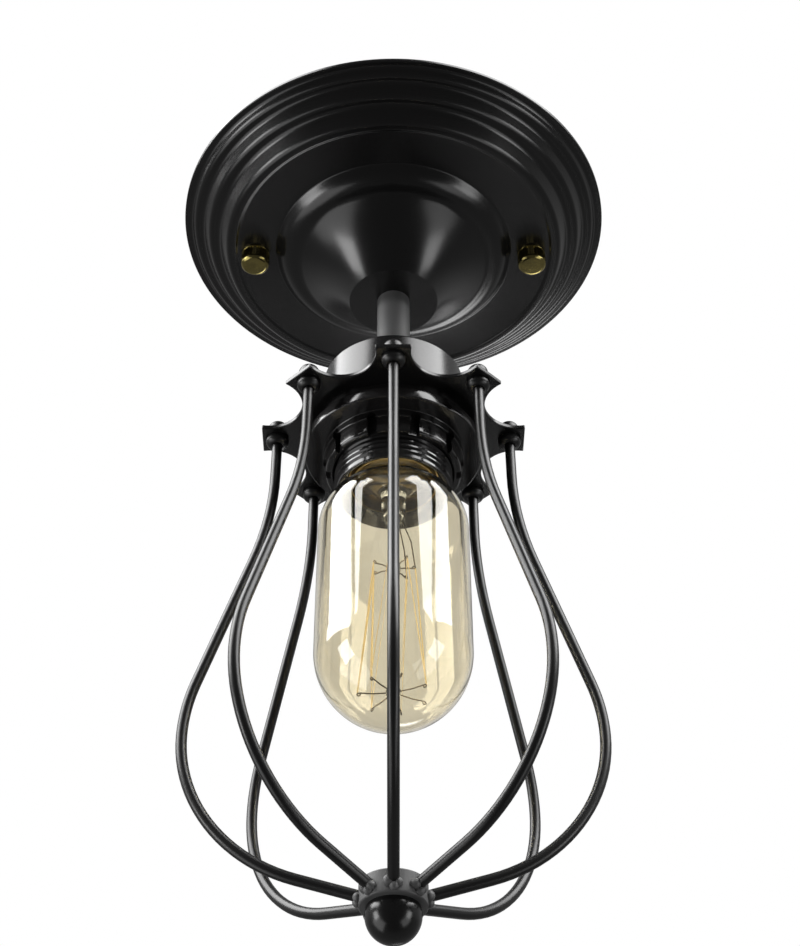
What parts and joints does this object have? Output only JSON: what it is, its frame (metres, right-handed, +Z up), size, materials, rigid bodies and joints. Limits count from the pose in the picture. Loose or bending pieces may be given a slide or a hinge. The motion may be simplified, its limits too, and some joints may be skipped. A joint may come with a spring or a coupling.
{
  "type": "cage wall light",
  "caption": "Black wall light with a stepped round canopy, a short stem and cup, a notched shade ring and a bent-wire cage round a tubular lamp.",
  "frame": {"origin": "centre of the mounting strap's back face, on the wall plane and the stem's axis", "axes": "the light stands out from the wall along -Y, +Z is up, +X is to the right seen from the room"},
  "size_m": [0.145, 0.267, 0.145],
  "materials": {
    "black_steel": "satin black powder coat",
    "cup_steel": "satin black powder coat",
    "stem_steel": "satin black powder coat",
    "cage_steel": "satin black powder coat",
    "wire_steel": "satin black powder coat on round wire",
    "finial_steel": "satin black powder coat",
    "bakelite": "glossy moulded black",
    "ring_bakelite": "glossy moulded black",
    "steatite": "unglazed steatite",
    "zinc_strap": "zinc-plated pressed steel",
    "zinc_screws": "bright zinc plate",
    "zinc_nuts": "bright zinc plate",
    "zinc_washers": "zinc plate",
    "antique_brass": "antiqued knurled brass",
    "earth_brass": "turned brass",
    "contact_brass": "rolled brass",
    "lamp_brass": "rolled brass cap",
    "lead_insulation": "wire insulation",
    "amber_glass": "pale amber blown glass",
    "clear_glass": "clear drawn glass",
    "black_glass": "black vitrified glass",
    "solder": "soldered contact",
    "support_wire": "drawn support wire",
    "filament": "warm carbon filament"
  },
  "bodies": {
    "fixture": {"canopy": "black_steel", "mounting_strap": "zinc_strap", "canopy_studs": "zinc_screws", "stud_lock_nuts": "zinc_nuts", "earth_screw": "earth_brass", "stem_tube": "stem_steel", "canopy_washer": "zinc_washers", "canopy_lock_nut": "zinc_nuts", "socket_cup": "cup_steel", "cup_washer": "zinc_washers", "lampholder_dome": "bakelite", "lampholder_barrel": "bakelite", "terminal_insert": "steatite", "terminal_screws": "contact_brass", "centre_contact": "contact_brass", "screw_shell": "contact_brass", "lead_wires": "lead_insulation", "cage_plate": "cage_steel", "cage_wire_1": "wire_steel", "cage_wire_2": "wire_steel", "cage_wire_3": "wire_steel", "cage_wire_4": "wire_steel", "cage_wire_5": "wire_steel", "cage_wire_6": "wire_steel", "cage_wire_7": "wire_steel", "cage_wire_8": "wire_steel", "cage_hub": "cage_steel", "finial_ball": "finial_steel"},
    "cap_nut_left": {"cap_nut_left": "antique_brass"},
    "cap_nut_right": {"cap_nut_right": "antique_brass"},
    "shade_ring": {"shade_ring": "ring_bakelite"},
    "lamp_end": {"lamp_pip": "solder"},
    "lamp": {"lamp_glass": "amber_glass", "lamp_cap": "lamp_brass", "lamp_insulator": "black_glass", "lamp_mount": "clear_glass", "lamp_supports": "support_wire", "lamp_leads": "support_wire", "lamp_filament": "filament"}
  },
  "joints": [
    {"name": "cap_nut_left_turn", "type": "hinge", "parent": "fixture", "child": "cap_nut_left", "pos_m": [-0.04744, -0.0132, 0], "axis": [0, -1, 0], "range_deg": [0, 1800]},
    {"name": "cap_nut_right_turn", "type": "hinge", "parent": "fixture", "child": "cap_nut_right", "pos_m": [0.04744, -0.0132, 0], "axis": [0, -1, 0], "range_deg": [0, 1800]},
    {"name": "shade_ring_turn", "type": "hinge", "parent": "fixture", "child": "shade_ring", "pos_m": [0, -0.1022, 0], "axis": [0, -1, 0], "range_deg": [0, 1260]},
    {"name": "lamp_advance", "type": "slide", "parent": "fixture", "child": "lamp_end", "axis": [0, -1, 0], "range_m": [0, 0.011]},
    {"name": "lamp_turn", "type": "hinge", "parent": "lamp_end", "child": "lamp", "pos_m": [0, -0.097, 0], "axis": [0, -1, 0], "range_deg": [0, 1080]}
  ],
  "couplings": [
    {"joint": "lamp_advance", "follows": "lamp_turn", "m_per_rad": 0.00057773}
  ]
}
